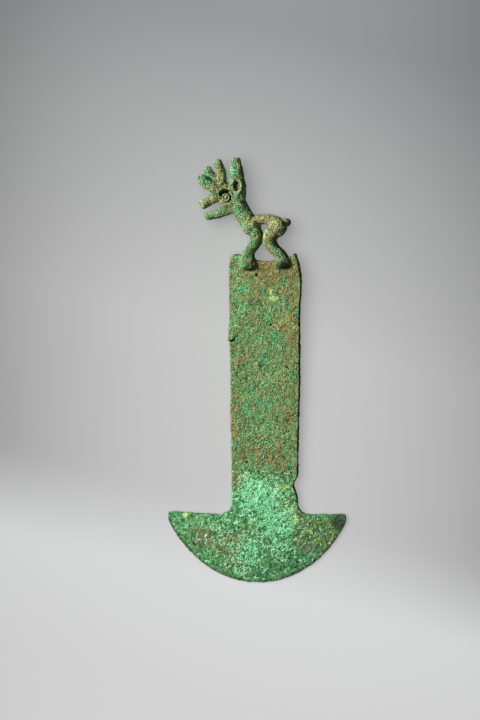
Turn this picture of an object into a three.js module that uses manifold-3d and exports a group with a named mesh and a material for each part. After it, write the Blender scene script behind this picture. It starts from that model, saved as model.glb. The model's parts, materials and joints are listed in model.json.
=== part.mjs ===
// A cast bronze tumi: a crescent blade, a flat tapering grip above it and a small deer standing on the
// grip's end. Blade, grip and deer are one casting, so the whole knife is one solid.
//
// The knife is modelled in its own frame, in millimetres: x runs across the grip, y from the cutting edge
// up to the tip of the ear, z out of the front face, and the flat back of the plate is z = 0. At the end it
// is laid down on its back, where the cutting edge and the deer's two far hooves touch the ground.
import * as THREE from "three";
import { mergeVertices } from "three/addons/utils/BufferGeometryUtils.js";
import Module from "manifold-3d";

const wasm = await Module();
wasm.setup();

const { lerp } = THREE.MathUtils;

// ---------------------------------------------------------------- driving sizes

const LENGTH = 150; // cutting edge to ear tip
const DEER_RISE = 35.5; // ear tip above the grip's end
const GRIP_END = LENGTH - DEER_RISE;

// The rim of the blade is the lower part of an ellipse, a little to the left of the grip.
const RIM = { x: -3.2, halfWidth: 36.7, halfHeight: 44.1, thickness: 0.7 };

// The two lobes of the blade: where the blunt tip is, the height of the upper edge beside the grip and the
// size of the fillet there.
const LEFT_LOBE = { side: -1, tipX: -35.1, tipY: 24.7, rootY: 24.0, fillet: 5.8 };
const RIGHT_LOBE = { side: 1, tipX: 29.1, tipY: 25.2, rootY: 24.6, fillet: 4.8 };
const TIP = { height: 5, turn: 2.8, corner: 1.5 }; // the blunt end of a lobe, from the rim to the upper edge

const GRIP = {
  neckY: 31, // where the grip leaves the blade
  neckHalfWidth: 11.6,
  endHalfWidth: 12.5,
  neckThickness: 2.9,
  endThickness: 4.2,
};

// The profile of the grip's front, from the deer's end down to the blade: one long plane, worn down past the
// grip's end and run out under the blade's dome.
const GRIP_FRONT = [
  { y: GRIP_END + 3, z: GRIP.endThickness - 1 },
  { y: GRIP_END + 1, z: GRIP.endThickness - 0.3 },
  { y: GRIP_END - 1, z: GRIP.endThickness },
  { y: GRIP.neckY + 11, z: GRIP.neckThickness },
  { y: GRIP.neckY, z: GRIP.neckThickness - 0.25 },
  { y: 12, z: 0.4 },
];
const SPARE = 1; // how far the solids that shape the front reach past the back, the rim and the grip's edges

// Wear along the grip's edges: where it is, how far it reaches below and above, and how far it stands out.
const LEFT_WEAR = [
  { y: 86.5, below: 2.4, above: 4, out: 0.6 }, // swelling over a crack
  { y: 60, below: 6, above: 6, out: 0.2 },
  { y: 116, below: 2.5, above: 2.5, out: -0.7 }, // rounded corner
];
const RIGHT_WEAR = [
  { y: 35.4, below: 3, above: 1.8, out: -1.6 }, // chipped notch over the blade
  { y: 105.5, below: 5, above: 5, out: 0.5 },
  { y: 74, below: 14, above: 14, out: 0.3 },
  { y: 116, below: 3.5, above: 3.5, out: -1.4 }, // narrowed corner
];

// ---------------------------------------------------------------- solids and curves

function solidOf(geometry) {
  const bare = geometry.clone();
  bare.deleteAttribute("normal");
  bare.deleteAttribute("uv");
  const merged = mergeVertices(bare, 1e-4);
  return new wasm.Manifold(
    new wasm.Mesh({
      numProp: 3,
      vertProperties: new Float32Array(merged.attributes.position.array),
      triVerts: new Uint32Array(merged.index.array),
    }),
  );
}

function geometryOf(solid) {
  const mesh = solid.getMesh();
  const geometry = new THREE.BufferGeometry();
  geometry.setAttribute("position", new THREE.BufferAttribute(mesh.vertProperties, 3));
  geometry.setIndex(new THREE.BufferAttribute(mesh.triVerts, 1));
  return geometry;
}

const joined = (solids) => solids.reduce((sum, solid) => sum.add(solid));

const point = (x, y) => new THREE.Vector2(x, y);

function extruded(points, depth) {
  return new THREE.ExtrudeGeometry(new THREE.Shape(points), { depth, bevelEnabled: false });
}

// ---------------------------------------------------------------- blade and grip

// The angle on the rim ellipse at height y, measured at its centre, on the given side of the blade.
function rimAngle(y, side) {
  const fall = Math.asin((y - RIM.halfHeight) / RIM.halfHeight);
  return side > 0 ? 2 * Math.PI + fall : Math.PI - fall;
}

// The cutting edge, from the left tip round the bottom to the right tip.
function rimPoints() {
  const from = rimAngle(LEFT_LOBE.tipY - TIP.height, -1);
  const to = rimAngle(RIGHT_LOBE.tipY - TIP.height, 1);
  return new THREE.EllipseCurve(RIM.x, RIM.halfHeight, RIM.halfWidth, RIM.halfHeight, from, to).getPoints(72);
}

function gripHalfWidth(y, wear) {
  const straight = lerp(GRIP.neckHalfWidth, GRIP.endHalfWidth, (y - GRIP.neckY) / (GRIP_END - GRIP.neckY));
  const wornBy = (spot) => {
    const reach = y < spot.y ? spot.below : spot.above;
    return spot.out * Math.exp(-(((y - spot.y) / reach) ** 2));
  };
  return wear.reduce((width, spot) => width + wornBy(spot), straight);
}

// One edge of the grip, from the blade's fillet up to the corner beside the deer.
function gripEdge(side, wear, fromY) {
  const steps = 72;
  const height = (i) => lerp(fromY, GRIP_END + 0.9, i / steps);
  return Array.from({ length: steps + 1 }, (_, i) => point(side * gripHalfWidth(height(i), wear), height(i)));
}

// The upper edge of one lobe, from its blunt tip to the end of the fillet on the grip.
function lobeEdge(lobe, wear) {
  const rimX = (y) => RIM.x + RIM.halfWidth * Math.cos(rimAngle(y, lobe.side));
  const rimEndY = lobe.tipY - TIP.height;
  const tip = new THREE.CubicBezierCurve(
    point(rimX(rimEndY), rimEndY),
    point(lobe.tipX, lobe.tipY - TIP.turn),
    point(lobe.tipX, lobe.tipY),
    point(lobe.tipX - lobe.side * TIP.corner, lobe.tipY),
  );
  const filletEndY = lobe.rootY + lobe.fillet;
  const gripX = lobe.side * gripHalfWidth(filletEndY, wear);
  const fillet = new THREE.QuadraticBezierCurve(
    point(gripX + lobe.side * lobe.fillet, lobe.rootY),
    point(gripX, lobe.rootY),
    point(gripX, filletEndY),
  );
  return [...tip.getPoints(9).slice(1), ...fillet.getPoints(8)];
}

// The grip's worn end dips between its corners, where the deer's hooves stand.
function gripEnd(rightCorner, leftCorner) {
  const dips = [
    [10.4, 1.9],
    [7.4, 0.5],
    [2, -0.7],
    [-3, -0.4],
    [-8.4, 1.1],
    [-11, 1.5],
  ];
  const middle = dips.map(([x, rise]) => point(x, GRIP_END + rise));
  return new THREE.SplineCurve([rightCorner, ...middle, leftCorner]).getPoints(28).slice(1, -1);
}

function plateOutline() {
  const leftLobe = lobeEdge(LEFT_LOBE, LEFT_WEAR);
  const rightLobe = lobeEdge(RIGHT_LOBE, RIGHT_WEAR);
  const rightEdge = gripEdge(1, RIGHT_WEAR, rightLobe.at(-1).y).slice(1);
  const leftEdge = gripEdge(-1, LEFT_WEAR, leftLobe.at(-1).y).slice(1);
  const end = gripEnd(rightEdge.at(-1), leftEdge.at(-1));
  return [...rimPoints(), ...rightLobe, ...rightEdge, ...end, ...leftEdge.reverse(), ...leftLobe.reverse()];
}

// The blade's front is a shallow dome over the rim ellipse, thin at the cutting edge.
function bladeDome() {
  const steps = 9;
  const outer = 1 + SPARE / RIM.halfWidth;
  const height = (share) => lerp(GRIP.neckThickness, RIM.thickness, share ** 2);
  const shares = Array.from({ length: steps + 1 }, (_, i) => 1 - i / steps);
  const front = shares.map((share) => point(share, height(share)));
  const profile = [point(0, -SPARE), point(outer, -SPARE), point(outer, RIM.thickness), ...front];
  const dome = new THREE.LatheGeometry(profile, 72);
  dome.rotateX(Math.PI / 2);
  dome.scale(RIM.halfWidth, RIM.halfHeight, 1);
  dome.translate(RIM.x, RIM.halfHeight, 0);
  return solidOf(dome);
}

// The grip's front is a long flat face that rises a little towards the deer and runs out into the blade's
// dome below.
function gripSlab() {
  const halfWidth = GRIP.endHalfWidth + SPARE;
  const front = GRIP_FRONT.map(({ y, z }) => point(y, z));
  const side = [point(front.at(-1).x, -SPARE), point(front[0].x, -SPARE), ...front];
  const slab = extruded(side, 2 * halfWidth);
  // The profile is drawn as (y, z) in the extrusion's x and y, and the extrusion itself runs across the grip.
  slab.applyMatrix4(new THREE.Matrix4().set(0, 0, 1, -halfWidth, 1, 0, 0, 0, 0, 1, 0, 0, 0, 0, 0, 1));
  return solidOf(slab);
}

function plate() {
  const outline = solidOf(extruded(plateOutline(), GRIP.endThickness + SPARE));
  return outline.intersect(bladeDome().add(gripSlab()));
}

// ---------------------------------------------------------------- deer

// The deer stands side on, facing left, and is built about its own origin: the middle of the grip's end,
// half way through the plate. Places on it are [x, y, z] from there, and z > 0 is its near side.
const DEER_ORIGIN = [0, GRIP_END, GRIP.endThickness / 2];
const LEG_Z = 2.1; // how far each leg stands out from the deer's middle plane
const EAR_Z = 1.5;
const BOTH_SIDES = [1, -1];

// A limb is a lathed bar whose rings are carried along a curve. Each station is [x, y, z, radius]; `depth`
// flattens the section across z, and `blunt` flattens the last end from a half ball to a cut stub.
function limb(stations, { depth = 1, blunt = 1 } = {}) {
  const facets = 12;
  const spine = new THREE.CatmullRomCurve3(stations.map(([x, y, z]) => new THREE.Vector3(x, y, z)));
  const girth = new THREE.CatmullRomCurve3(stations.map(([, , , radius]) => new THREE.Vector3(radius, 0, 0)));
  const capTurns = [0.35, 0.65, 0.85].map((share) => (share * Math.PI) / 2);
  const lastRing = 2 * (stations.length - 1);

  const ringAt = (share, turn = 0) => {
    const radius = girth.getPoint(share).x;
    const tangent = spine.getTangent(share);
    const reach = share < 0.5 ? -radius : radius * blunt;
    const centre = spine.getPoint(share).addScaledVector(tangent, reach * Math.sin(turn));
    return { centre, tangent, radius: radius * Math.cos(turn) };
  };
  const start = [Math.PI / 2, ...capTurns.toReversed()].map((turn) => ringAt(0, turn));
  const middle = Array.from({ length: lastRing + 1 }, (_, i) => ringAt(i / lastRing));
  const end = [...capTurns, Math.PI / 2].map((turn) => ringAt(1, turn));
  const rings = [...start, ...middle, ...end];
  rings[0].radius = 0;
  rings.at(-1).radius = 0;

  // The lathe's y is the number of the ring until each vertex is carried there.
  const bar = new THREE.LatheGeometry(rings.map(({ radius }, i) => point(radius, i)), facets);
  const positions = bar.attributes.position;
  const outward = new THREE.Vector3(0, 0, 1);
  for (let i = 0; i < positions.count; i++) {
    const { centre, tangent } = rings[Math.round(positions.getY(i))];
    const sideways = new THREE.Vector3().crossVectors(tangent, outward).normalize();
    const place = centre
      .clone()
      .addScaledVector(sideways, positions.getX(i))
      .addScaledVector(outward, depth * positions.getZ(i));
    positions.setXYZ(i, place.x, place.y, place.z);
  }
  return solidOf(bar);
}

// A rounded lump with the given half sizes, turned in the deer's plane.
function lump(place, halfSizes, turn = 0) {
  const ball = new THREE.SphereGeometry(1, 14, 9);
  ball.scale(...halfSizes);
  ball.rotateZ(turn);
  ball.translate(...place);
  return solidOf(ball);
}

function trunk() {
  const neck = limb([
    [-5.4, 12.3, 0, 3.0],
    [-7.6, 15.6, 0, 3.05],
    [-9.6, 18.8, 0, 3.2],
    [-10.8, 21.6, 0, 3.3],
  ]);
  const back = limb(
    [
      [-4.4, 12.9, 0, 2.3],
      [-1.4, 13.8, 0, 1.95],
      [1.4, 13.8, 0, 1.95],
      [4.4, 12.8, 0, 2.3],
    ],
    { depth: 1.15 },
  );
  const tail = limb([
    [4.9, 12.2, 0, 1.8],
    [7.5, 12.9, 0, 1.75],
  ]);
  return joined([neck, back, tail]);
}

function frontLeg(side) {
  const z = side * LEG_Z;
  const shoulder = lump([-4.7, 11.2, side * 1.7], [3.3, 2.8, 2.3], -0.3);
  const leg = limb(
    [
      [-4.0, 10.6, z, 2.2],
      [-2.95, 8.0, z, 2.15],
      [-3.45, 5.6, z, 1.95],
      [-5.1, 2.9, z, 1.75],
      [-5.9, 0.6, z, 2.2],
      [-5.8, -1.9, z, 3.1],
    ],
    { depth: 0.75, blunt: 0.6 },
  );
  return shoulder.add(leg);
}

function hindLeg(side) {
  const z = side * LEG_Z;
  const haunch = lump([4.6, 11.0, side * 1.7], [3.1, 3.4, 2.3], -0.3);
  const leg = limb(
    [
      [4.4, 11.0, z, 2.4],
      [2.6, 8.9, z, 2.4],
      [1.5, 6.8, z, 2.2],
      [2.25, 4.9, z, 2.0],
      [4.3, 2.7, z, 1.75],
      [5.9, 0.9, z, 1.9],
      [6.3, -1.3, z, 2.75],
    ],
    { depth: 0.85, blunt: 0.6 },
  );
  return haunch.add(leg);
}

function jaws() {
  const upper = limb(
    [
      [-12.6, 22.4, 0, 2.3],
      [-15.9, 21.9, 0, 1.9],
      [-19.2, 20.5, 0, 1.75],
      [-22.1, 18.6, 0, 1.75],
    ],
    { blunt: 0.45 },
  );
  const lower = limb([
    [-10.9, 18.2, 0, 2.4],
    [-14.0, 16.7, 0, 1.75],
    [-17.1, 15.4, 0, 1.6],
    [-19.9, 14.9, 0, 1.5],
  ]);
  const cheek = lump([-12.6, 19.3, 0], [3.6, 2.5, 2.9]);
  return joined([upper, lower, cheek]);
}

// Three tines fan out of one root above the brow.
function antler() {
  const hindTine = [
    [-15.4, 23.6, 0, 2.0],
    [-15.2, 27.6, 0, 1.85],
    [-15.6, 30.9, 0, 1.7],
    [-16.5, 33.3, 0, 1.55],
  ];
  const middleTine = [
    [-15.8, 25.0, -0.6, 1.8],
    [-18.3, 28.1, -0.8, 1.6],
    [-20.3, 30.7, -0.9, 1.65],
  ];
  const frontTine = [
    [-15.4, 23.9, 0.6, 2.0],
    [-18.4, 25.0, 1.0, 1.95],
    [-20.7, 26.5, 1.1, 1.85],
    [-22.1, 27.9, 1.1, 1.65],
  ];
  return joined([hindTine, middleTine, frontTine].map((tine) => limb(tine)));
}

// An upright leaf, thick at its root, with a hollow that opens away from the deer's middle plane.
function ear(side) {
  const z = side * EAR_Z;
  const leaf = limb(
    [
      [-9.4, 21.2, side * 0.9, 2.8],
      [-9.7, 25.2, z, 2.95],
      [-9.95, 28.2, z, 2.6],
      [-10.05, 31.4, z, 2.05],
      [-10.1, 34.0, z, 1.45],
    ],
    { depth: 0.55 },
  );
  const hollow = limb([
    [-9.5, 25.0, side * 3.3, 1.2],
    [-9.6, 26.2, side * 3.3, 1.2],
    [-9.8, 27.6, side * 3.4, 0.8],
  ]);
  return { leaf, hollow };
}

// The eye is a raised disc with a groove round its middle, below a deep crescent socket.
function eye(side) {
  const [eyeX, eyeY, eyeZ] = [-13.35, 21.75, side * 2.5];
  const profile = [
    [0, -1],
    [1.45, -1],
    [1.4, 0.6],
    [1.05, 0.8],
    [0.75, 0.45],
    [0.45, 0.75],
    [0, 0.8],
  ];
  const disc = new THREE.LatheGeometry(profile.map(([radius, rise]) => point(radius, rise)), 18);
  disc.rotateX((side * Math.PI) / 2);
  disc.translate(eyeX, eyeY, eyeZ);
  const socket = limb([
    [eyeX - 1.9, eyeY + 0.1, eyeZ, 0.75],
    [eyeX - 1.5, eyeY + 1.4, eyeZ, 1.05],
    [eyeX + 0.3, eyeY + 2.1, eyeZ, 0.85],
  ]);
  return { disc: solidOf(disc), socket };
}

function deer() {
  const skull = lump([-11.6, 22.2, 0], [3.7, 3.3, 3.1], -0.5);
  const brow = lump([-13.6, 25.2, 0], [1.5, 1.3, 2.2]);
  const ears = BOTH_SIDES.map(ear);
  const eyes = BOTH_SIDES.map(eye);
  const legs = BOTH_SIDES.flatMap((side) => [frontLeg(side), hindLeg(side)]);
  const mass = joined([trunk(), skull, brow, jaws(), antler(), ...legs, ...ears.map(({ leaf }) => leaf)]);
  const hollows = joined([...ears.map(({ hollow }) => hollow), ...eyes.map(({ socket }) => socket)]);
  return joined([mass.subtract(hollows), ...eyes.map(({ disc }) => disc)]).translate(DEER_ORIGIN);
}

// ---------------------------------------------------------------- the knife at rest

// Laid on its back the knife leans on its cutting edge, which is y = 0 at the back, and on whatever stands
// out furthest behind the plate: the tilt is the steepest slope down from that edge to any point.
function restTilt(geometry) {
  const positions = geometry.attributes.position;
  const slopeTo = (_, i) => Math.atan2(-positions.getZ(i), positions.getY(i));
  const slopes = Array.from({ length: positions.count }, slopeTo);
  return Math.max(...slopes.filter((slope) => slope < Math.PI / 4));
}

function knifeAtRest() {
  const tumi = new THREE.Mesh(
    geometryOf(plate().add(deer())),
    new THREE.MeshStandardMaterial({ color: 0x53734a, roughness: 0.8, metalness: 0.3 }),
  );
  tumi.name = "tumi";
  tumi.rotation.x = restTilt(tumi.geometry);

  // The origin is on the ground under the middle of the knife's box.
  const knife = new THREE.Group();
  knife.add(tumi);
  const box = new THREE.Box3().setFromObject(knife, true);
  const middle = box.getCenter(new THREE.Vector3());
  tumi.position.set(-middle.x, -middle.y, -box.min.z);
  return knife;
}

export default knifeAtRest();
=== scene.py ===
"""The looks of a cast bronze tumi: a crescent-bladed knife with a deer standing on the end of its grip.

The CAD solid is copied into one fine mesh, its facets are smoothed away, and the corroded skin is laid on it:
relief in the mesh down to about half a millimetre, and finer grain, colour and gloss in one node-based
material. Lengths are in millimetres in the knife's own frame, x across, y from the cutting edge to the ear
and z out of the front face, until the mesh is put back into the CAD's metres. The studio is in metres.
"""
import itertools
import json
import math

import bpy
import numpy as np
from mathutils import Matrix, Vector


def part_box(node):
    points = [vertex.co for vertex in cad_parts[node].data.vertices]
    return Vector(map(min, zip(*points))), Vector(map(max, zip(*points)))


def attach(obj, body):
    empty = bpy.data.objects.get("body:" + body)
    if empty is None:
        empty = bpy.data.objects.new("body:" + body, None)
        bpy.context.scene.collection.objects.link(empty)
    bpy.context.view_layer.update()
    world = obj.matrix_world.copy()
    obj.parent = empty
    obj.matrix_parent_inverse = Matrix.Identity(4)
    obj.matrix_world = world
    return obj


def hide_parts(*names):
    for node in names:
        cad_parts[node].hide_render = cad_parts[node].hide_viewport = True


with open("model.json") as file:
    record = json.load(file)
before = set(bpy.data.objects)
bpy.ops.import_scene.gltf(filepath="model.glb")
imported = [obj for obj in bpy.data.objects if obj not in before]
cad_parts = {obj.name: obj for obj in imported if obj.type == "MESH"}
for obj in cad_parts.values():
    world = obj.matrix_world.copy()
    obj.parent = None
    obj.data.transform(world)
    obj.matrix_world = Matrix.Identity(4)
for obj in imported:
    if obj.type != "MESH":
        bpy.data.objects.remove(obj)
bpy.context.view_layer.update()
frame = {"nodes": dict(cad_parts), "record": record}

NODE = "tumi"
MM = 0.001

# ---------------------------------------------------------------- the knife's own frame

# The knife leans a little as it lies, so its axes come from the mount on the grip's back.
LOW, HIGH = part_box(NODE)
MOUNTS = {mount["name"]: mount for mount in frame["record"]["mounts"]}
GRIP_X = MOUNTS["grip_back"]["pos_m"][0]

KNIFE_X = Vector((1, 0, 0))
KNIFE_Z = -Vector(MOUNTS["grip_back"]["axis"]).normalized()
KNIFE_Y = KNIFE_Z.cross(KNIFE_X)
KNIFE_ORIGIN = Vector((GRIP_X, LOW.y, LOW.z))
KNIFE_AXES = np.array([KNIFE_X, KNIFE_Y, KNIFE_Z])

LENGTH = (HIGH.y - LOW.y) / MM
BLADE_TOP = 0.16 * LENGTH  # about as high as the tips of the blade's lobes
NECK = 0.24 * LENGTH  # where the blade has narrowed into the grip
GLAZE_END = NECK + 6
GRIP_END = 0.763 * LENGTH

# The cutting edge is the lower part of an ellipse that touches y = 0.
RIM_X = -3.2
RIM_HALF_WIDTH = 0.2447 * LENGTH
RIM_HALF_HEIGHT = 0.294 * LENGTH

# The deer's eye is a raised disc with a groove in it, a trench round it and a deep crescent over it. The
# radii are those of the groove, the disc, the trench and the crescent's middle line.
DEER_MIDDLE = 2.1  # the z of the deer's middle plane
EYE_X = -13.35
EYE_Y = GRIP_END + 21.75
GROOVE_RADIUS = 0.78
GROOVE_DEPTH = 0.45
DISC_RADIUS = 1.48
DISC_SLOPE = 0.26  # how far in from there the disc reaches its full height
DISC_RISE = 0.35
TRENCH_RADIUS = 1.62
TRENCH_DEPTH = 0.5
SOCKET_RADIUS = 2.05
SOCKET_DEPTH = 1.2
SOCKET_TURN = 115  # the direction of the crescent's middle, in degrees from x

EAR_X = -9.5
EAR_Y = GRIP_END + 25.7
EAR_HALF_WIDTH = 1.15
EAR_HALF_HEIGHT = 1.8
EAR_DEPTH = 0.5
EAR_RIM_RISE = 0.45

# The crack runs in from the grip's left edge and climbs by CRACK_SLOPE. A deep pit is its x, y and radius.
CRACK_LEFT = -12.1
CRACK_Y = 85.4
CRACK_SLOPE = 0.5
DEEP_PITS = [(-2.6, 109.0, 0.6), (2.3, 91.6, 0.5), (-6.2, 42.9, 0.5)]
WOUND_DEPTH = 1.0

# ---------------------------------------------------------------- the mesh

CELL = 0.22
MOST_TRIANGLES = 190000
SMOOTHING_ROUNDS = 6
BACK_NORMAL = -0.25  # vertices whose normal's z is below this are on the back
FRONT_THINNING = 0.3  # how readily the front gives up triangles, against 1 for the back
THINNING_FACTOR = 3
SMOOTHING_PULLS = (0.5, -0.52)
PLATE_SMOOTHING = 0.4  # the blade's and the grip's share of the smoothing, against 1 for the deer
CRISPNESS = 0.9  # the share of it that the crisp places are spared

SEED = 7
PIT_SEED = SEED + 10
HOOF_SEED = SEED + 4
TABLE_SIZE = 4096  # a power of two, as cell_key needs
HASH_X = 73856093
HASH_Y = 19349663
HASH_Z = 83492791

# The crust's lumps: their size, their height, the share of it that the blade lacks and the share that the
# deer has on top.
CRUST_LUMPS = [
    (6.5, 0.10, 0.45, 0.0),
    (2.3, 0.12, 0.45, 0.0),
    (1.2, 0.13, 0.0, 0.3),
    (0.65, 0.08, 0.0, 0.0),
]
PIT_SPACING = 3.4
PIT_RADIUS = 0.6
PIT_DEPTH = 0.30
BLADE_PITS_LACK = 0.6  # the share of that depth that the blade's pits lack
HOOF_LUMPS = 1.0
HOOF_LUMP_HEIGHT = 0.35
EYE_CALM = 0.75  # how much of the crust is left off round the eye


def to_knife(places):
    """Points in the CAD's metres as millimetres in the knife's frame."""
    return (places - np.array(KNIFE_ORIGIN)) @ KNIFE_AXES.T / MM


def to_cad(places):
    """Points in millimetres in the knife's frame as the CAD's metres."""
    return places @ KNIFE_AXES * MM + np.array(KNIFE_ORIGIN)


def read(collection, field, width, kind=np.float32):
    """One field of a mesh's vertices, edges or normals, as an array with a row for each."""
    values = np.empty(len(collection) * width, kind)
    collection.foreach_get(field, values)
    return values.reshape(-1, width).astype(float if kind is np.float32 else int)


def write_places(mesh, places):
    """Moves the mesh's vertices to these points."""
    mesh.vertices.foreach_set("co", places.astype(np.float32).ravel())
    mesh.update()


def store(mesh, name, values):
    """Writes a number or a vector for each vertex as a named attribute."""
    kind, field = ("FLOAT", "value") if values.ndim == 1 else ("FLOAT_VECTOR", "vector")
    attribute = mesh.attributes.new(name, kind, "POINT")
    attribute.data.foreach_set(field, values.astype(np.float32).ravel())


def with_modifier(piece, kind, **settings):
    """Puts what one modifier makes of the piece's mesh in the mesh's place."""
    modifier = piece.modifiers.new(kind.lower(), kind)
    for name, value in settings.items():
        setattr(modifier, name, value)
    graph = bpy.context.evaluated_depsgraph_get()
    made = bpy.data.meshes.new_from_object(piece.evaluated_get(graph))
    piece.modifiers.clear()
    piece.data = made


def fine_copy(node):
    """A new object with the CAD solid's shape, in knife millimetres, in even cells."""
    mesh = node.data.copy()
    write_places(mesh, to_knife(read(mesh.vertices, "co", 3)))
    piece = bpy.data.objects.new("tumi_casting", mesh)
    bpy.context.scene.collection.objects.link(piece)
    with_modifier(piece, "REMESH", mode="VOXEL", voxel_size=CELL)
    return piece


def neighbour_mean(places, edges):
    """For each vertex, the mean of the vertices it shares an edge with."""
    ends = np.concatenate([edges[:, 0], edges[:, 1]])
    others = np.concatenate([edges[:, 1], edges[:, 0]])
    counts = np.bincount(ends, minlength=len(places))
    sums = [np.bincount(ends, places[others, axis], len(places)) for axis in range(places.shape[1])]
    return np.stack(sums, 1) / counts[:, None]


def smoothed(places, edges, rounds, share):
    """Smooths without shrinking: a round pulls towards the neighbours and then pushes back a little more."""
    for _ in range(rounds):
        for pull in SMOOTHING_PULLS:
            places = places + pull * share[:, None] * (neighbour_mean(places, edges) - places)
    return places


def blend(value, start, end):
    """0 before start, 1 after end and a smooth rise between them."""
    t = np.clip((value - start) / (end - start), 0, 1)
    return t * t * (3 - 2 * t)


def ridge(value, centre, width):
    """1 at the centre, falling off smoothly to either side."""
    return np.exp(-(((value - centre) / width) ** 2))


def zone(places, patches):
    """How far each place is inside a list of soft patches: their strength at their centres, fading to 0."""
    x, y, _ = places.T
    total = np.zeros(len(places))
    for centre_x, centre_y, half_width, half_height, strength in patches:
        apart = ((x - centre_x) / half_width) ** 2 + ((y - centre_y) / half_height) ** 2
        total = np.maximum(total, strength * np.exp(-apart))
    return total


def random_table(seed):
    """Numbers from -1 to 1 that depend on the seed alone."""
    return np.random.default_rng(seed).uniform(-1, 1, TABLE_SIZE)


def cell_key(cells):
    """A place in a random table for each lattice cell."""
    mixed = cells[:, 0] * HASH_X ^ cells[:, 1] * HASH_Y ^ cells[:, 2] * HASH_Z
    return (mixed ^ (mixed >> 13)) & (TABLE_SIZE - 1)


def lumps(places, size, seed):
    """Smooth noise from about -1 to 1 whose features are about `size` mm."""
    table = random_table(seed)
    scaled = places / size + seed
    cells = np.floor(scaled).astype(int)
    part = scaled - cells
    part = part * part * (3 - 2 * part)
    total = np.zeros(len(places))
    for corner in itertools.product((0, 1), repeat=3):
        weight = np.prod(np.where(corner, part, 1 - part), axis=1)
        total += weight * table[cell_key(cells + corner)]
    return total


def pits(places, spacing, radius, seed):
    """Scattered round hollows, 1 in the middle and 0 from `radius` on, about one to a `spacing` mm cube."""
    shifts = [random_table(seed + axis) for axis in range(4)]
    cells = np.floor(places / spacing).astype(int)
    deepest = np.zeros(len(places))
    for step in itertools.product((-1, 0, 1), repeat=3):
        key = cell_key(cells + step)
        centres = (cells + step + 0.5 + 0.5 * np.stack([s[key] for s in shifts[:3]], 1)) * spacing
        reach = radius * (0.75 + 0.5 * shifts[3][key])
        depth = 1 - np.linalg.norm(places - centres, axis=1) / reach
        deepest = np.maximum(deepest, blend(depth, 0, 1))
    return deepest


def eyes(places):
    """The deer's grooved discs, and its sockets, cut deeper than the casting has them."""
    across = places[:, 0] - EYE_X
    up = places[:, 1] - EYE_Y
    reach = np.hypot(across, up)
    turn = np.degrees(np.arctan2(up, across))
    crescent = blend(np.abs(reach - SOCKET_RADIUS), 0.7, 0.35) * blend(np.abs(turn - SOCKET_TURN), 60, 38)
    height = DISC_RISE * blend(reach, DISC_RADIUS, DISC_RADIUS - DISC_SLOPE)
    height -= TRENCH_DEPTH * ridge(reach, TRENCH_RADIUS, 0.28)
    height -= GROOVE_DEPTH * ridge(reach, GROOVE_RADIUS, 0.22)
    return height - SOCKET_DEPTH * crescent


def ears(places):
    """The hollows in the deer's ears, and the rim that stands out on the right of each."""
    across = places[:, 0] - EAR_X
    up = places[:, 1] - EAR_Y
    reach = np.hypot(across / EAR_HALF_WIDTH, up / EAR_HALF_HEIGHT)
    rim = ridge(reach, 1.35, 0.3) * blend(across - 0.5 * up, -0.6, 1.0)
    return EAR_RIM_RISE * rim - EAR_DEPTH * blend(reach, 1.15, 0.6)


def face(places):
    """The eyes and the ears, on the deer's flanks but not in its middle."""
    flank = blend(np.abs(places[:, 2] - DEER_MIDDLE), 1.0, 2.0)
    return flank * (eyes(places) + ears(places))


def wounds(places):
    """The crack in the grip's left edge and the pits deep enough to take the painted black shade of deep
    hollows, all of them in the front.
    """
    x, y, z = places.T
    inward = x - CRACK_LEFT
    deepest = blend(np.abs(y - CRACK_Y - CRACK_SLOPE * inward), 0.5, 0.15) * blend(inward, 2.4, 1.2)
    for pit_x, pit_y, radius in DEEP_PITS:
        deepest = np.maximum(deepest, blend(np.hypot(x - pit_x, y - pit_y), radius, 0.3 * radius))
    return -WOUND_DEPTH * deepest * blend(z, 1.5, 2.5)


def deer_share(places):
    """0 on the blade and the grip, 1 on the deer."""
    return blend(places[:, 1], GRIP_END - 3, GRIP_END + 2)


def relief(places):
    """How far the corroded skin stands out from the smooth casting, in mm."""
    on_deer = deer_share(places)
    on_blade = 1 - blend(places[:, 1], BLADE_TOP, NECK)
    height = np.zeros(len(places))
    for number, (size, most, blade_lacks, deer_adds) in enumerate(CRUST_LUMPS):
        share = (1 - blade_lacks * on_blade) * (1 + deer_adds * on_deer)
        height += most * share * lumps(places, size, SEED + number)
    depth = PIT_DEPTH * (1 - BLADE_PITS_LACK * on_blade)
    height -= depth * pits(places, PIT_SPACING, PIT_RADIUS, PIT_SEED)
    height += HOOF_LUMP_HEIGHT * zone(places, HOOVES) * lumps(places, HOOF_LUMPS, HOOF_SEED)
    calm = 1 - EYE_CALM * zone(places, EYES)
    return calm * height + face(places) + wounds(places)


def skin(piece):
    """Smooths the casting and lays the relief on it."""
    mesh = piece.data
    edges = read(mesh.edges, "vertices", 2, np.int32)
    places = read(mesh.vertices, "co", 3)
    on_deer = blend(places[:, 1], GRIP_END + 0.5, GRIP_END + 2.5)
    share = PLATE_SMOOTHING + (1 - PLATE_SMOOTHING) * on_deer
    share *= 1 - CRISPNESS * zone(places, CRISP)
    places = smoothed(places, edges, SMOOTHING_ROUNDS, share)
    write_places(mesh, places)
    normals = read(mesh.vertex_normals, "vector", 3)
    height = relief(places)
    store(mesh, "stands_out", height)
    write_places(mesh, places + normals * height[:, None])


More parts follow.
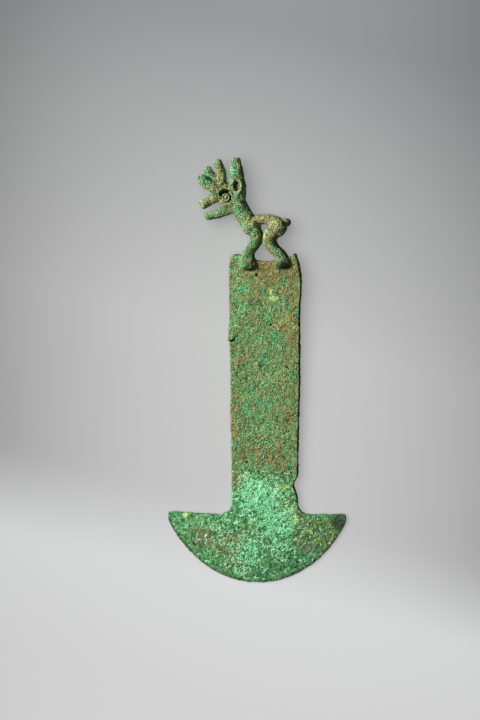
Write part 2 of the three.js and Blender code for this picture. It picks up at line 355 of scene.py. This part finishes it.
def thinned(piece):
    """Brings the mesh down to MOST_TRIANGLES, and takes them first from the back."""
    mesh = piece.data
    on_back = read(mesh.vertex_normals, "vector", 3)[:, 2] < BACK_NORMAL
    mesh.calc_loop_triangles()
    ratio = MOST_TRIANGLES / len(mesh.loop_triangles)
    group = piece.vertex_groups.new(name="plain")
    group.add(np.nonzero(on_back)[0].tolist(), 1, "REPLACE")
    group.add(np.nonzero(~on_back)[0].tolist(), FRONT_THINNING, "REPLACE")
    with_modifier(piece, "DECIMATE", ratio=ratio, vertex_group="plain", vertex_group_factor=THINNING_FACTOR)
    piece.vertex_groups.clear()


# ---------------------------------------------------------------- where the corrosion differs, and where shade is painted

# Each zone is a list of soft patches: centre x, centre y, half width, half height, strength. The first three
# shape the mesh. The material reads the rest, which are thick mint green, brown earth, blue-green teal, pale
# crust with a painted highlight on the hind leg, tan crust, curls of pale strokes, thin yellow strands aslant
# or upright, azure specks, deep sea green, straw in the mint, rust and a dull dark skin.
EYES = [
    (EYE_X, EYE_Y, 1.9, 1.9, 1.0),
]
HOOVES = [
    (-5.6, 112.6, 2.8, 2.2, 1.0),
    (6.5, 112.8, 2.8, 2.4, 1.0),
]
CRISP = [
    *EYES,
    (EYE_X, EYE_Y + 1, 2.4, 2.4, 1.0),
    (EAR_X, EAR_Y, 2.0, 3.0, 1.0),
]
ZONES = {
    "mint": [
        (-2, 30, 8, 7, 1.0),
        (4, 22, 8, 7, 0.85),
        (-6, 12, 7, 5, 0.5),
        (6, 12, 5, 5, 0.5),
        (-15, 20, 6, 4, 0.25),
        (-4, 36, 5, 4, 0.6),
        (-9, 5, 7, 3, 0.3),
        (-10.8, 145.5, 1.8, 4.5, 0.22),
    ],
    "earth": [
        (-10, 36, 2.2, 3.5, 1.0),
        (0, 110, 9, 5, 0.6),
        (0.2, 113.5, 5.5, 1.3, 1.2),
        (10, 106, 3, 8, 0.6),
        (9, 92, 5, 12, 0.3),
        (-8, 83, 5, 7, 0.15),
        (-11, 56, 1.5, 6, 0.6),
        (8, 60, 5, 7, 0.25),
        (-6, 46, 6, 4, 0.3),
        (6, 44, 7, 6, 0.25),
        (-13, 14, 8, 6, 0.75),
        (-22, 16, 6, 5, 0.6),
        (-24, 19, 6, 5, 0.45),
        (-6, 18, 5, 4, 0.5),
        (-8, 5, 8, 3, 0.5),
        (5, 8, 4, 3, 0.3),
        (11, 23, 3, 4, 0.5),
        (1, 128.3, 5.5, 2, 1.2),
        (4, 124.5, 4, 4, 1.0),
        (2, 117, 3, 3, 0.8),
        (-18, 135, 6, 2, 0.6),
        (-13.3, 139.5, 2.5, 1.5, 0.8),
        (-15.8, 141.5, 2, 3, 0.9),
        (-15.5, 146, 1.6, 3, 0.6),
        (-10, 148.5, 1.5, 1.5, 0.3),
        (-9.5, 141, 1.5, 2.2, 0.3),
        (-13, 133, 2, 1.5, 0.7),
    ],
    "teal": [
        (-6, 10, 9, 3.5, 0.8),
        (-2, 27, 5, 4, 0.6),
        (-6.5, 105, 3.5, 3.5, 0.75),
        (-7.5, 98.5, 3.5, 3, 0.6),
        (3.5, 87, 3, 3, 0.6),
        (-6, 88, 3, 3, 0.4),
        (-8, 71, 4, 5, 0.35),
        (4, 64, 6, 3, 0.35),
        (-5, 60, 7, 4, 0.2),
        (-8.6, 132.9, 2, 3, 0.7),
        (-7.3, 128.5, 2, 2, 0.5),
        (-10.5, 146, 1.6, 3.5, 0.6),
        (-22.3, 142.6, 2, 2, 0.8),
        (-20.6, 145.7, 1.8, 1.8, 0.8),
        (-11.2, 144.4, 1.2, 4, 0.5),
        (-5.5, 113, 2.5, 2.5, 0.5),
        (6, 112.5, 2.5, 2.5, 0.6),
    ],
    "pale": [
        (-28.4, 23.5, 1.7, 1.1, 0.7),
        (3.2, 101, 1.6, 1.0, 1.0),
        (2.3, 103.2, 0.5, 1.6, 0.9),
        (-10, 102, 2, 3, 0.4),
        (8, 35.5, 3.5, 3, 0.42),
        (11, 25, 3, 6, 0.4),
        (-9.5, 38, 2, 2, 0.4),
        # A painted highlight along the hind leg's lit edge.
        (0.6, 123.7, 1.0, 3.0, 0.6),
    ],
    "tan": [
        (0.5, 127.8, 6, 2.5, 0.8),
        (-18, 134.5, 5, 1.6, 0.5),
        (2, 49, 10, 8, 0.34),
    ],
    "curls": [
        (-14, 17, 7, 6, 0.8),
        (-7, 11, 8, 6, 1.0),
        (-5, 4, 7, 3, 0.6),
        (-6, 33, 5, 6, 0.5),
    ],
    "aslant": [
        (16, 17, 6, 7, 1.1),
    ],
    "upright": [
        (24, 17.5, 4.5, 6.5, 1.2),
    ],
    "azure": [
        (13.6, 12.0, 2.2, 1.3, 0.7),
        (16.4, 13.6, 2.0, 1.4, 0.8),
        (20.3, 17.6, 1.2, 2.2, 0.7),
        (-22.4, 13.9, 1.6, 1.3, 0.6),
    ],
    "sea": [
        (4, 4.5, 8, 3.5, 1.0),
        (15.5, 9.5, 7, 4, 1.0),
        (22, 14, 4, 4, 0.6),
        (12, 20, 3, 3, 0.5),
        (-5, 7, 4, 3, 0.4),
    ],
    "straw": [
        (7.5, 36, 5, 5, 1.0),
        (8.5, 29, 3.5, 5, 0.8),
        (11, 24, 2.5, 3, 0.7),
        (-8.5, 39, 3, 3, 0.7),
    ],
    "rust": [
        (10.7, 34.3, 0.9, 1.8, 1.4),
        (8.9, 30.0, 1.1, 1.0, 0.8),
        (4.2, 30.4, 1.0, 0.7, 0.7),
        (6.2, 29.0, 0.8, 0.7, 0.7),
        (9.5, 107, 2.5, 2, 0.3),
        (0.2, 113.2, 4, 1.5, 0.5),
        (3.4, 111.5, 0.8, 2.2, 0.5),
    ],
    "dull": [
        (3.5, 117, 5, 8, 0.22),
        (-5.6, 112.5, 2.8, 2.2, 0.9),
        (6.5, 112.6, 2.8, 2.4, 1.2),
        (26.3, 22.4, 3.3, 3.4, 1.35),
        (22, 13, 4, 5, 0.45),
        (-12, 12, 9, 7, 0.22),
        (-5.5, 118.5, 3, 5, 0.62),
    ],
}

# How much of the metal's colour gives way to painted shade at the plate's side walls, and to a darkening at
# the cutting edge's rim.
WALL_PAINTED_SHADE = 0.65
RIM_DARKENING = 0.6


def edge(places, normals):
    """Where the metal is painted dark: painted shade on the plate's narrow side walls, and a dark rim along
    the cutting edge.
    """
    across = (places[:, 0] - RIM_X) / RIM_HALF_WIDTH
    up = (places[:, 1] - RIM_HALF_HEIGHT) / RIM_HALF_HEIGHT
    wall = WALL_PAINTED_SHADE * blend(np.abs(normals[:, 2]), 0.75, 0.35)
    rim = RIM_DARKENING * blend(np.hypot(across, up), 0.965, 0.99) * (up < 0)
    on_plate = 1 - blend(places[:, 1], GRIP_END - 4, GRIP_END - 1)
    return np.maximum(wall, rim) * on_plate


def store_zones(piece):
    """Writes the knife's own coordinates and each zone on the mesh, for the material to read."""
    mesh = piece.data
    places = read(mesh.vertices, "co", 3)
    store(mesh, "knife", places)
    for name, patches in ZONES.items():
        store(mesh, name, zone(places, patches))
    store(mesh, "blade", 1 - blend(places[:, 1], NECK, GLAZE_END))
    store(mesh, "deer", deer_share(places))
    # The painted shade on the side walls and the darkening at the rim.
    store(mesh, "edge", edge(places, read(mesh.vertex_normals, "vector", 3)))


# ---------------------------------------------------------------- shader nodes


def srgb(red, green, blue):
    """A colour given in 0 to 255 screen values, as the shader's linear one."""
    def linear(value):
        value = value / 255
        return value / 12.92 if value <= 0.04045 else ((value + 0.055) / 1.055) ** 2.4
    return (linear(red), linear(green), linear(blue), 1)


class Graph:
    """Adds nodes to one material and hands back their output sockets."""

    def __init__(self, name):
        self.material = bpy.data.materials.new(name)
        self.material.use_nodes = True
        self.nodes = self.material.node_tree.nodes
        self.links = self.material.node_tree.links
        self.nodes.clear()

    def node(self, kind, inputs, **settings):
        """One node. inputs maps a socket's name or number to a value or to another node's output."""
        made = self.nodes.new(kind)
        for name, value in settings.items():
            setattr(made, name, value)
        for key, value in inputs.items():
            if isinstance(value, bpy.types.NodeSocket):
                self.links.new(value, made.inputs[key])
            else:
                made.inputs[key].default_value = value
        return made

    def add(self, kind, inputs, output=0, **settings):
        """One output of one node."""
        return self.node(kind, inputs, **settings).outputs[output]

    def attribute(self, name, output="Fac"):
        return self.add("ShaderNodeAttribute", {}, output, attribute_name=name)

    def split(self, vector):
        """The x, y and z of a vector."""
        return self.node("ShaderNodeSeparateXYZ", {0: vector}).outputs

    def math(self, operation, first, second=0.0):
        return self.add("ShaderNodeMath", {0: first, 1: second}, operation=operation)

    def weighed(self, *terms, offset=0.0):
        """The sum of terms, each a weight and a value, and an offset."""
        found = offset
        for weight, value in terms:
            found = self.add("ShaderNodeMath", {0: value, 1: weight, 2: found}, operation="MULTIPLY_ADD")
        return found

    def moved(self, place, shift):
        return self.add("ShaderNodeMapping", {"Vector": place, "Location": shift})

    def rise(self, value, start, end, low=0.0, high=1.0):
        """low on start's side and high beyond end, with a smooth step between. start may be above end."""
        inputs = {0: value, 1: start, 2: end, 3: low, 4: high}
        return self.add("ShaderNodeMapRange", inputs, interpolation_type="SMOOTHSTEP")

    def noise(self, place, size, detail, roughness, distortion=0.0):
        """Noise around 0.5 whose features are about size mm."""
        inputs = {
            "Vector": place,
            "Scale": 1 / size,
            "Detail": detail,
            "Roughness": roughness,
            "Distortion": distortion,
        }
        return self.add("ShaderNodeTexNoise", inputs)

    def grey(self, value):
        """The colour whose red, green and blue are all this value."""
        return self.add("ShaderNodeCombineColor", {0: value, 1: value, 2: value})

    def ramp(self, value, stops):
        """A colour that runs through the stops, each a place from 0 to 1 and a colour."""
        made = self.node("ShaderNodeValToRGB", {0: value})
        elements = made.color_ramp.elements
        while len(elements) < len(stops):
            elements.new(0.5)
        for element, (position, colour) in zip(elements, stops):
            element.position = position
            element.color = colour
        return made.outputs[0]

    def mix(self, amount, first, second, blend_type="MIX"):
        """Two colours mixed. Inputs 6 and 7 of the node and its output 2 are the ones for colours."""
        inputs = {0: amount, 6: first, 7: second}
        return self.add("ShaderNodeMix", inputs, 2, data_type="RGBA", blend_type=blend_type)

    def times(self, first, second):
        """Two colours multiplied."""
        return self.mix(1.0, first, second, "MULTIPLY")

    def wash(self, under, over, share, value):
        """The colour under, with share times value of the colour over mixed in."""
        return self.mix(self.weighed((share, value)), under, over)

    def cover(self, under, over, value, start, end, most=1.0):
        """The colour under, going over to most of the colour over as value goes from start to end."""
        return self.mix(self.rise(value, start, end, 0.0, most), under, over)

    def surface(self, inputs):
        """Gives the material its surface, and returns the material."""
        shader = self.add("ShaderNodeBsdfPrincipled", inputs)
        self.node("ShaderNodeOutputMaterial", {"Surface": shader})
        return self.material


# ---------------------------------------------------------------- the patina

# Noise on the crust: the size of its features in mm, and its detail.
GRAINS = {
    "fine": (0.36, 1),
    "fleck": (0.42, 1),
    "medium": (0.8, 1),
    "drop": (0.75, 0),
    "curd": (1.5, 1),
    "clump": (2.6, 2),
    "broad": (8, 2),
}
GRAIN_ROUGHNESS = 0.6

# How far each noise is moved from the one before it, so that no two of them run alike.
APART_X = 17.3
APART_Y = 9.1
APART_Z = 5.7

# Layers of pale strokes: a cell's size, the length and width of the stroke in it, and where the layer shows.
STROKE_LAYERS = [
    (1.15, 1.5, 0.4, "minty"),
    (1.3, 1.5, 0.4, "minty"),
    (0.95, 1.5, 0.4, "minty"),
    (2.1, 2.1, 0.5, "curly"),
    (1.5, 0.8, 0.65, "curly"),
]
LEAST_LEAN = 0.15  # the least turn of a stroke away from x or y, in radians
LEAN_SPREAD = 1.3  # how much further it can turn
BEND = 0.9  # the range of bends, as a share of a stroke's length

# The strands' zones, and the direction they run in, in degrees from x.
STRANDS = {"aslant": 46, "upright": 98}
STRAND_STRETCH = 5  # how many times longer a strand is than it is wide, about

# Colours. A pair is the two ends of what grain or chance picks from.
BROWN_CRUST = (srgb(100, 107, 62), srgb(150, 138, 84))
GREEN_CRUST = (srgb(78, 131, 84), srgb(124, 152, 97))
EMERALD = (srgb(60, 142, 92), srgb(104, 178, 122))
TAN = srgb(176, 158, 104)
RUST_FLECK = srgb(164, 112, 62)
DEER_GREEN = srgb(108, 144, 112)
TEAL_DROP = srgb(92, 206, 150)
BLADE_GREEN = (srgb(60, 122, 72), srgb(98, 164, 106))
BLADE_BROWN = srgb(112, 110, 70)
SEA_GREEN = srgb(38, 108, 72)
MINT = (srgb(88, 176, 118), srgb(128, 208, 146))
STRAW = srgb(150, 168, 104)
STRAND_GROUND = srgb(58, 100, 68)
STRAND_YELLOW = srgb(152, 164, 90)
AZURITE = srgb(64, 112, 122)
RUST = (srgb(164, 104, 58), srgb(116, 26, 18))
STROKE = (srgb(190, 242, 196), srgb(116, 214, 156))
TEAL_STROKE = srgb(96, 214, 170)
EARTHY_STROKE = srgb(112, 176, 112)
DULL = srgb(50, 66, 46)
# Painted shade: the near-black of the deepest hollows, the eye's crescent, the deep pits and the crack.
PAINTED_HOLLOW_SHADE = srgb(26, 26, 16)
# Pale crust, and the colour of the painted highlight on the hind leg.
PALE_CRUST_AND_HIGHLIGHT = srgb(186, 214, 130)
# The colour of the painted shade on the plate's side walls and of the dark rim along the cutting edge.
EDGE_DARKENING = srgb(50, 54, 36)

# What the colours are multiplied by: a shade, from dark pits at 0 to pale crumbs at 1, which is painted shade
# in the hollows and painted highlight on the raised grain and relief, and then a gain all over, which is
# higher on the deer and lower on the blade.
SHADES = [
    (0.0, srgb(70, 62, 50)),
    (0.3, srgb(148, 142, 132)),
    (0.5, srgb(190, 190, 188)),
    (0.75, srgb(226, 230, 224)),
    (1.0, srgb(255, 255, 250)),
]
GAIN = 2.13
DEER_GAIN = 0.3
BLADE_GAIN = -0.15

# How high the crust's light and dark, and the pale strokes, stand in the bump, in mm.
CRUST_BUMP = 0.30
STROKE_BUMP = 0.14


def strokes(graph, place, spacing, length, width, number, density):
    """One layer of short curved strokes, at most one to a cell, each of them aslant.

    Returns how strongly a stroke shows, and a random value that is the same all over one stroke.
    """
    shifted = graph.moved(place, (number * APART_X, number * APART_Y, 0))
    inputs = {"Vector": shifted, "Scale": 1 / spacing}
    cell = graph.node("ShaderNodeTexVoronoi", inputs, voronoi_dimensions="2D")
    turning, bending, showing = graph.node("ShaderNodeSeparateColor", {0: cell.outputs["Color"]}).outputs
    side = graph.math("MULTIPLY", graph.math("GREATER_THAN", turning, 0.5), math.pi / 2)
    lean = graph.math("MULTIPLY", graph.math("FRACT", graph.math("MULTIPLY", turning, 7.31)), LEAN_SPREAD)
    angle = graph.math("ADD", side, graph.math("ADD", lean, LEAST_LEAN))
    away = graph.add("ShaderNodeVectorMath", {0: shifted, 1: cell.outputs["Position"]}, operation="SUBTRACT")
    turned = graph.add("ShaderNodeVectorRotate", {"Vector": away, "Angle": angle}, rotation_type="Z_AXIS")
    turned_x, turned_y, _ = graph.split(turned)
    along = graph.math("DIVIDE", turned_x, length / 2)
    bend = graph.math("MULTIPLY", graph.math("SUBTRACT", bending, 0.5), BEND * length)
    curve = graph.math("MULTIPLY", graph.math("MULTIPLY", along, along), bend)
    across = graph.math("DIVIDE", graph.math("ADD", turned_y, curve), width / 2)
    along_power = graph.math("POWER", graph.math("ABSOLUTE", along), 4)
    outside = graph.math("ADD", along_power, graph.math("MULTIPLY", across, across))
    there = graph.math("LESS_THAN", showing, density)
    return graph.math("MULTIPLY", graph.rise(outside, 1.5, 0.3), there), bending


def grains(graph, place):
    """Each noise in GRAINS, from about -0.5 to 0.5."""
    made = {}
    for number, (name, (size, detail)) in enumerate(GRAINS.items(), 1):
        shifted = graph.moved(place, (number * APART_X, number * APART_Y, number * APART_Z))
        noise = graph.noise(shifted, size, detail, GRAIN_ROUGHNESS)
        made[name] = graph.weighed((2, noise), offset=-1)
    return made


def crust(graph, zones, grain):
    """The rough skin of the grip and the deer: olive brown and green, with emerald clumps and teal drops."""
    across = graph.rise(grain["fleck"], -0.3, 0.3)
    brown = graph.mix(across, *BROWN_CRUST)
    green = graph.mix(across, *GREEN_CRUST)
    emerald = graph.mix(across, *EMERALD)
    earthy = graph.weighed((0.75, zones["earth"]), (0.35, grain["broad"]), (0.3, grain["clump"]),
                           (0.3, grain["curd"]), (0.5, grain["medium"]), (0.3, grain["fleck"]))
    colour = graph.cover(green, brown, earthy, 0.0, 0.36)
    tanned = graph.weighed((0.9, zones["tan"]), (0.5, grain["medium"]), (0.4, grain["curd"]))
    colour = graph.cover(colour, TAN, tanned, 0.3, 0.6, 0.85)
    rusty = graph.weighed((1, grain["fleck"]), (0.12, zones["earth"]), (0.3, grain["clump"]))
    colour = graph.cover(colour, RUST_FLECK, rusty, 0.24, 0.40, 0.8)
    clumped = graph.weighed((-1.0, grain["clump"]), (-0.4, grain["curd"]), (-0.25, grain["medium"]),
                            (0.35, zones["teal"]))
    colour = graph.cover(colour, emerald, clumped, 0.2, 0.36, 0.85)
    colour = graph.wash(colour, DEER_GREEN, 0.28, zones["deer"])
    dropped = graph.weighed((1, grain["drop"]), (0.15, zones["teal"]))
    return graph.cover(colour, TEAL_DROP, dropped, 0.58, 0.66, 0.9)


def glaze(graph, zones, grain, colour):
    """The blade's smoother green, browner in places and deeper by the edge, with mint patches on it."""
    light = graph.weighed((0.9, grain["medium"]), (0.7, grain["curd"]), (0.5, grain["clump"]), offset=0.5)
    green = graph.mix(graph.rise(light, 0.1, 0.9), *BLADE_GREEN)
    earthy = graph.weighed((0.8, zones["earth"]), (0.4, grain["broad"]), (0.5, grain["medium"]),
                           (0.4, grain["clump"]))
    green = graph.cover(green, BLADE_BROWN, earthy, 0.15, 0.5, 0.8)
    green = graph.wash(green, SEA_GREEN, 0.7, zones["sea"])
    colour = graph.wash(colour, green, 0.9, zones["blade"])
    mint = graph.mix(graph.rise(grain["fine"], -0.3, 0.3), *MINT)
    mint = graph.wash(mint, STRAW, 0.8, zones["straw"])
    minty = graph.weighed((1.2, zones["mint"]), (0.3, zones["straw"]), (0.6, grain["curd"]),
                          (0.6, grain["medium"]), (0.4, grain["clump"]))
    return graph.cover(colour, mint, minty, 0.35, 0.8, 0.9)


def strands(graph, place, zones, colour):
    """Long thin yellow lines over darker green, aslant in one zone and upright in the other."""
    for name, turn in STRANDS.items():
        inputs = {"Vector": place, "Rotation": (0, 0, math.radians(turn)), "Scale": (STRAND_STRETCH, 1, 1)}
        stretched = graph.add("ShaderNodeMapping", inputs, vector_type="TEXTURE")
        ridges = graph.noise(stretched, size=1.0, detail=1, roughness=0.5, distortion=0.5)
        off_middle = graph.math("ABSOLUTE", graph.weighed((1, ridges), offset=-0.5))
        colour = graph.cover(colour, STRAND_GROUND, zones[name], 0.3, 0.6, 0.6)
        inside = graph.rise(zones[name], 0.25, 0.6, 0.0, 0.85)
        line = graph.math("MULTIPLY", graph.rise(off_middle, 0.08, 0.03), inside)
        colour = graph.mix(line, colour, STRAND_YELLOW)
    return colour


def spots(graph, zones, grain, colour):
    """Blue azurite specks, orange rust and the red oxide in the notch."""
    blue = graph.weighed((0.9, zones["azure"]), (0.7, grain["medium"]), (0.8, grain["fine"]))
    colour = graph.cover(colour, AZURITE, blue, 0.35, 0.75, 0.8)
    rust = graph.mix(graph.rise(zones["rust"], 0.9, 1.3), *RUST)
    rusty = graph.weighed((0.9, zones["rust"]), (0.6, grain["medium"]), (0.4, grain["fleck"]))
    return graph.cover(colour, rust, rusty, 0.4, 0.55, 0.9)


def catches_light(graph, zones, grain):
    """How much light a place is painted as catching, from dark pits at 0 to pale crumbs at 1: painted shade
    in hollows, painted highlight on raised places.
    """
    contrast = graph.weighed((0.4, zones["deer"]), (-0.4, zones["blade"]), (-0.25, zones["sea"]), offset=1.0)
    fine = graph.math("MULTIPLY", grain["fine"], contrast)
    return graph.weighed((1.05, fine), (0.4, grain["medium"]), (0.12, grain["clump"]),
                         (0.6, zones["stands_out"]), offset=0.5)


def shaded(graph, zones, light, colour):
    """The colour, with painted shade in the pits and painted highlight on the crumbs."""
    gain = graph.weighed((DEER_GAIN, zones["deer"]), (BLADE_GAIN, zones["blade"]), offset=GAIN)
    return graph.times(graph.times(colour, graph.ramp(light, SHADES)), graph.grey(gain))


def bright_strokes(graph, place, zones, grain, colour):
    """Short pale curls in loose clusters. Returns the new colour and how strongly a stroke shows."""
    clustered = graph.rise(grain["clump"], -0.35, 0.2, 0.25, 1.0)
    minty = graph.weighed((0.7, zones["mint"]), (0.06, zones["blade"]))
    densities = {
        "minty": graph.math("MULTIPLY", minty, clustered),
        "curly": graph.math("MULTIPLY", zones["curls"], clustered),
    }
    shown = 0.0
    for number, (spacing, length, width, where) in enumerate(STROKE_LAYERS, 1):
        mark, chance = strokes(graph, place, spacing, length, width, number, densities[where])
        pale = graph.mix(chance, *STROKE)
        pale = graph.wash(pale, TEAL_STROKE, 0.6, zones["teal"])
        pale = graph.wash(pale, EARTHY_STROKE, 0.45, zones["earth"])
        colour = graph.mix(mark, colour, pale)
        shown = graph.math("MAXIMUM", mark, shown)
    return colour, shown


def patches_and_painted_light(graph, zones, grain, colour):
    """The colour with its dull places, painted black shade in the deepest hollows, pale patches with a
    painted highlight among them, and painted shade and darkening at the edges.
    """
    duller = graph.weighed((0.65, zones["dull"]), (0.3, grain["medium"]), (0.3, grain["fleck"]))
    colour = graph.cover(colour, DULL, duller, 0.1, 0.8, 0.85)
    # Painted shade: places sunk more than about half a millimetre go towards black.
    colour = graph.cover(colour, PAINTED_HOLLOW_SHADE, zones["stands_out"], -0.55, -1.1, 0.9)
    paler = graph.weighed((1, zones["pale"]), (0.4, grain["curd"]), (0.4, grain["fine"]))
    colour = graph.cover(colour, PALE_CRUST_AND_HIGHLIGHT, paler, 0.35, 0.55, 0.85)
    # Painted shade on the plate's side walls, and a darkening along the cutting edge's rim.
    return graph.mix(zones["edge"], colour, EDGE_DARKENING)


def patina():
    """Corroded copper alloy: an olive and green crust, and a blade glazed in green under mint curls."""
    graph = Graph("bronze_patina")
    place = graph.attribute("knife", "Vector")
    zones = {name: graph.attribute(name) for name in (*ZONES, "blade", "deer", "edge", "stands_out")}
    grain = grains(graph, place)
    light = catches_light(graph, zones, grain)

    colour = crust(graph, zones, grain)
    colour = glaze(graph, zones, grain, colour)
    colour = strands(graph, place, zones, colour)
    colour = spots(graph, zones, grain, colour)
    colour = shaded(graph, zones, light, colour)
    colour, shown = bright_strokes(graph, place, zones, grain, colour)
    colour = patches_and_painted_light(graph, zones, grain, colour)

    height = graph.weighed((CRUST_BUMP, light), (STROKE_BUMP, shown))
    bump = graph.add("ShaderNodeBump", {"Strength": 1.0, "Distance": MM, "Height": height}, "Normal")
    return graph.surface({
        "Base Color": colour,
        "Roughness": graph.rise(light, 0.2, 0.8, 0.95, 0.65),
        "Normal": bump,
        "Specular IOR Level": 0.3,
    })


# ---------------------------------------------------------------- the piece


def casting():
    """The whole knife as one piece, in place of the CAD's node and never outside its box."""
    piece = fine_copy(frame["nodes"][NODE])
    skin(piece)
    thinned(piece)
    store_zones(piece)
    mesh = piece.data
    write_places(mesh, np.clip(to_cad(read(mesh.vertices, "co", 3)), LOW, HIGH))
    mesh.shade_smooth()
    mesh.materials.clear()
    mesh.materials.append(patina())
    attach(piece, "root")
    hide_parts(NODE)
    return piece


# ---------------------------------------------------------------- studio

SHOWN_HEIGHT = 252.1 * MM  # how much of the knife's plane the picture takes in
AIM_ACROSS = -5.58 * MM  # the picture's middle, from the middle of the knife's box
AIM_UP = 4.06 * MM
FROM_RIGHT = math.radians(9)
FROM_ABOVE = math.radians(6)
CAMERA_DISTANCE = 1.3
SENSOR_HEIGHT = 36  # in mm, as the lens is
SKY_ANGLE = math.radians(70)
ROOM_LIGHT = 0.07

FLOOR_REACH = 3.0
FLOOR_HEIGHT = -0.0002
# How strongly the floor glows with its own colour: painted light, which brightens it evenly and softens the
# knife's shadows on it.
FLOOR_GLOW = 0.49

# The floor's greys run from GREYS_REACH on the blade's side of the middle to as far on the deer's side,
# growing darker with a soft step towards the deer's side: painted light and shade on the floor.
# GREYS_TURN is the share of x in that direction.
GREYS_REACH = 0.13
GREYS_TURN = 0.22
FLOOR_GREYS = [
    (0.04, srgb(212, 212, 212)),
    (0.20, srgb(218, 219, 219)),
    (0.31, srgb(200, 200, 200)),
    (0.54, srgb(201, 202, 201)),
    (0.80, srgb(176, 177, 177)),
    (0.97, srgb(153, 154, 156)),
]

# The floor is painted dimmer with the square of the distance to either side of POOL_X, softly down to
# DIMMEST, as a painted pool of light: slowly on the blade's side of POOL_NEAR, and faster on the deer's side
# of POOL_FAR.
POOL_X = -0.003
POOL_NEAR = -0.085
POOL_FAR = -0.04
NEAR_DIMMING = 8
FAR_DIMMING = 45
DIMMEST = 0.5
DIMMEST_SOFTNESS = 0.2


def floor_material():
    """A pale floor with painted light on it: greys painted brighter on the blade's side, a soft painted pool
    of light round the knife, and a glow of its own.
    """
    graph = Graph("studio_floor")
    across, ahead, _ = graph.split(graph.add("ShaderNodeTexCoord", {}, "Object"))
    up = graph.math("ADD", ahead, graph.math("MULTIPLY", across, GREYS_TURN))
    along = graph.add("ShaderNodeMapRange", {0: up, 1: -GREYS_REACH, 2: GREYS_REACH})
    aside = graph.weighed((1, across), offset=-POOL_X)
    falloff = graph.rise(up, POOL_NEAR, POOL_FAR, NEAR_DIMMING, FAR_DIMMING)
    dimming = graph.math("MULTIPLY", graph.math("MULTIPLY", aside, aside), falloff)
    inputs = {0: graph.math("SUBTRACT", 1.0, dimming), 1: DIMMEST, 2: DIMMEST_SOFTNESS}
    # The painted pool of light.
    pool = graph.add("ShaderNodeMath", inputs, operation="SMOOTH_MAX")
    colour = graph.times(graph.ramp(along, FLOOR_GREYS), graph.grey(pool))
    return graph.surface({
        "Base Color": colour,
        "Roughness": 0.9,
        "Specular IOR Level": 0.1,
        "Emission Color": colour,
        "Emission Strength": FLOOR_GLOW,
    })


def floor():
    """A wide flat floor just under the knife."""
    mesh = bpy.data.meshes.new("studio_floor")
    reach = FLOOR_REACH
    corners = [(-reach, -reach, 0), (reach, -reach, 0), (reach, reach, 0), (-reach, reach, 0)]
    mesh.from_pydata(corners, [], [(0, 1, 2, 3)])
    mesh.materials.append(floor_material())
    made = bpy.data.objects.new("studio_floor", mesh)
    made.location.z = FLOOR_HEIGHT
    bpy.context.scene.collection.objects.link(made)
    made.visible_diffuse = False
    made.visible_glossy = False
    return made


def lamp(name, kind, lit, toward, distance, **settings):
    """A light in the given direction from the knife that reaches only the object lit."""
    light = bpy.data.lights.new(name, kind)
    for setting, value in settings.items():
        setattr(light, setting, value)
    made = bpy.data.objects.new(name, light)
    made.location = distance * Vector(toward).normalized()
    made.rotation_euler = (-made.location).to_track_quat("-Z", "Y").to_euler()
    bpy.context.scene.collection.objects.link(made)
    group = bpy.data.collections.new(name + "_lit")
    group.objects.link(lit)
    made.light_linking.receiver_collection = group


def lights(knife, ground):
    """A small key from the left and a weak fill on the knife, and soft light from above on the floor."""
    lamp("key", "AREA", knife, toward=(-0.70, 0.32, 0.52), distance=1.1, shape="DISK", size=0.3, energy=24)
    lamp("fill", "AREA", knife, toward=(0.3, -0.4, 1.2), distance=1.4, shape="DISK", size=0.9, energy=1.1)
    lamp("overhead", "SUN", ground, toward=(-0.35, 0.3, 1.0), distance=2.0, angle=SKY_ANGLE, energy=1.5)
    world = bpy.data.worlds.new("studio")
    world.use_nodes = True
    background = world.node_tree.nodes["Background"]
    background.inputs["Color"].default_value = (1, 1, 1, 1)
    background.inputs["Strength"].default_value = ROOM_LIGHT
    bpy.context.scene.world = world
    bpy.context.scene.view_settings.view_transform = "Standard"


def camera():
    """Looks down on the knife from a little to its right and a little from the deer's end."""
    middle = (LOW + HIGH) / 2
    toward = KNIFE_Z + math.tan(FROM_RIGHT) * KNIFE_X + math.tan(FROM_ABOVE) * KNIFE_Y
    toward.normalize()
    across = KNIFE_Y.cross(toward).normalized()
    upward = toward.cross(across)
    target = middle + AIM_ACROSS * across + AIM_UP * upward
    data = bpy.data.cameras.new("camera")
    data.sensor_fit = "VERTICAL"
    data.sensor_height = SENSOR_HEIGHT
    data.lens = SENSOR_HEIGHT * CAMERA_DISTANCE / SHOWN_HEIGHT
    made = bpy.data.objects.new("camera", data)
    made.location = target + CAMERA_DISTANCE * toward
    made.rotation_euler = Matrix((across, upward, toward)).transposed().to_euler()
    bpy.context.scene.collection.objects.link(made)
    bpy.context.scene.camera = made


knife = casting()
ground = floor()
lights(knife, ground)
camera()
